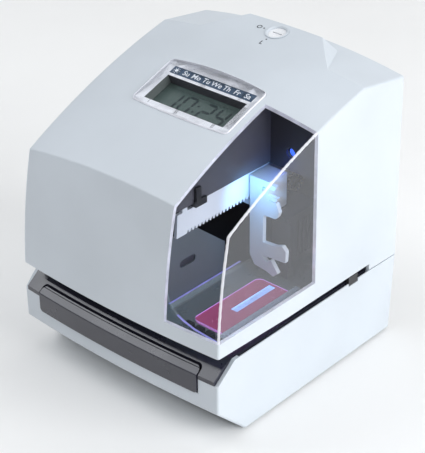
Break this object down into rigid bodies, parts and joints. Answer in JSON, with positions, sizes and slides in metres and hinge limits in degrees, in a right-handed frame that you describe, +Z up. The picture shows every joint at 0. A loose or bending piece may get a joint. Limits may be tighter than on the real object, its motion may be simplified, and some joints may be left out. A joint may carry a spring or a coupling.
{
  "type": "punch time clock",
  "caption": "Desktop electronic time recorder: sloping cover with a clear corner window and small display, card throat, press bar, key lock and a printing carriage.",
  "frame": {"origin": "centre of the footprint, on the table", "axes": "+Z up, +X to the right seen from the front, -Y to the front, where the card goes in"},
  "size_m": [0.155, 0.1668, 0.1882],
  "materials": {
    "base_plastic": "fine moulded grain",
    "cover_plastic": "fine moulded grain",
    "grey_gloss": "glossy, lightly scuffed",
    "zinc_steel": "zinc plated sheet",
    "black_steel": "black powder coat",
    "polished_steel": "ground and polished",
    "spring_steel": "drawn wire",
    "rubber_black": "matte",
    "black_plastic": "moulded",
    "red_plastic": "moulded",
    "white_plastic": "moulded, low sheen",
    "slate_plastic": "moulded",
    "clear_plastic": "clear, polished",
    "window_clear": "clear, polished",
    "lens_clear": "clear, polished, bevelled edge",
    "red_clear": "tinted, polished",
    "frosted_clear": "frosted",
    "ink_fabric": "inked weave",
    "black_metal": "black anodised fins",
    "brass_gear": "cut gear",
    "blue_lens": "tinted lens",
    "lcd_glass": "reflective liquid crystal glass",
    "board_green": "solder resist",
    "board_tan": "laminate with wound parts",
    "chip_black": "moulded packages",
    "battery_wrap": "shrink sleeve",
    "liner_dark": "dark, fine grain",
    "bezel_plastic": "smooth moulded",
    "strip_blue": "printed film",
    "lock_white": "smooth"
  },
  "bodies": {
    "base": {"base_housing": "base_plastic", "bottom_plate": "zinc_steel", "bottom_screws": "zinc_steel", "rubber_feet": "rubber_black", "deck_plate": "grey_gloss", "platen": "rubber_black", "platen_bracket": "zinc_steel", "bar_guides": "black_plastic", "bar_spring_left": "spring_steel", "bar_spring_right": "spring_steel", "bar_switch": "black_plastic", "switch_bracket": "zinc_steel", "bridge_plate": "black_steel", "left_side_plate": "black_steel", "rear_frame": "black_steel", "frame_screws": "zinc_steel", "rod_bar": "black_steel", "guide_rod_left": "polished_steel", "guide_rod_right": "polished_steel", "toothed_rack": "white_plastic", "card_guide": "clear_plastic", "print_mask": "red_clear", "light_guide": "frosted_clear", "ribbon_cassette": "slate_plastic", "ink_ribbon": "ink_fabric", "led_lamp": "blue_lens", "led_bracket": "zinc_steel", "lcd_panel": "lcd_glass", "lcd_board": "board_green", "board_carrier": "zinc_steel", "board_spacers": "black_plastic", "main_board": "board_green", "board_chips": "chip_black", "board_studs": "polished_steel", "power_supply": "board_tan", "supply_studs": "polished_steel", "power_inlet": "black_plastic", "backup_battery": "battery_wrap", "battery_tray": "black_plastic", "card_sensors": "black_plastic", "buzzer": "black_plastic", "lock_catch": "zinc_steel"},
    "cover": {"upper_cover": "cover_plastic", "window_pane": "window_clear", "chamber_liner": "liner_dark", "lcd_bezel": "bezel_plastic", "lcd_lens": "lens_clear", "weekday_strip": "strip_blue", "lock_collar": "cover_plastic", "lock_nut": "polished_steel"},
    "lock": {"lock_cylinder": "lock_white", "lock_cam": "polished_steel"},
    "carriage": {"carriage_slider": "black_plastic", "carriage_bracket": "white_plastic", "print_head": "black_metal", "carriage_motor": "polished_steel"},
    "drive_pinion": {"pinion": "brass_gear"},
    "bar": {"press_bar": "grey_gloss", "switch_plunger": "red_plastic"},
    "ribbon_drive": {"ribbon_knob": "white_plastic"}
  },
  "joints": [
    {"name": "cover_lift", "type": "slide", "parent": "base", "child": "cover", "axis": [0, 0, 1], "range_m": [0, 0.15]},
    {"name": "lock_turn", "type": "hinge", "parent": "cover", "child": "lock", "pos_m": [0.003, 0.0575, 0.18643], "axis": [0, -0.1891, 0.982], "range_deg": [0, 90]},
    {"name": "carriage_travel", "type": "slide", "parent": "base", "child": "carriage", "axis": [0, -1, 0], "range_m": [0, 0.042]},
    {"name": "pinion_spin", "type": "hinge", "parent": "carriage", "child": "drive_pinion", "pos_m": [0.034, 0.038, 0.10792], "axis": [-1, 0, 0], "range_deg": [0, 383]},
    {"name": "bar_press", "type": "slide", "parent": "base", "child": "bar", "axis": [0, 1, 0], "range_m": [0, 0.0011], "stiffness_N_per_m": 600, "springref_m": -0.002, "deforming": ["bar_spring_left", "bar_spring_right"]},
    {"name": "ribbon_knob_turn", "type": "hinge", "parent": "base", "child": "ribbon_drive", "pos_m": [-0.026, -0.049, 0.11], "axis": [0, 0, 1], "continuous": true}
  ],
  "couplings": [
    {"joint": "pinion_spin", "follows": "carriage_travel", "rad_per_m": 158.73}
  ]
}
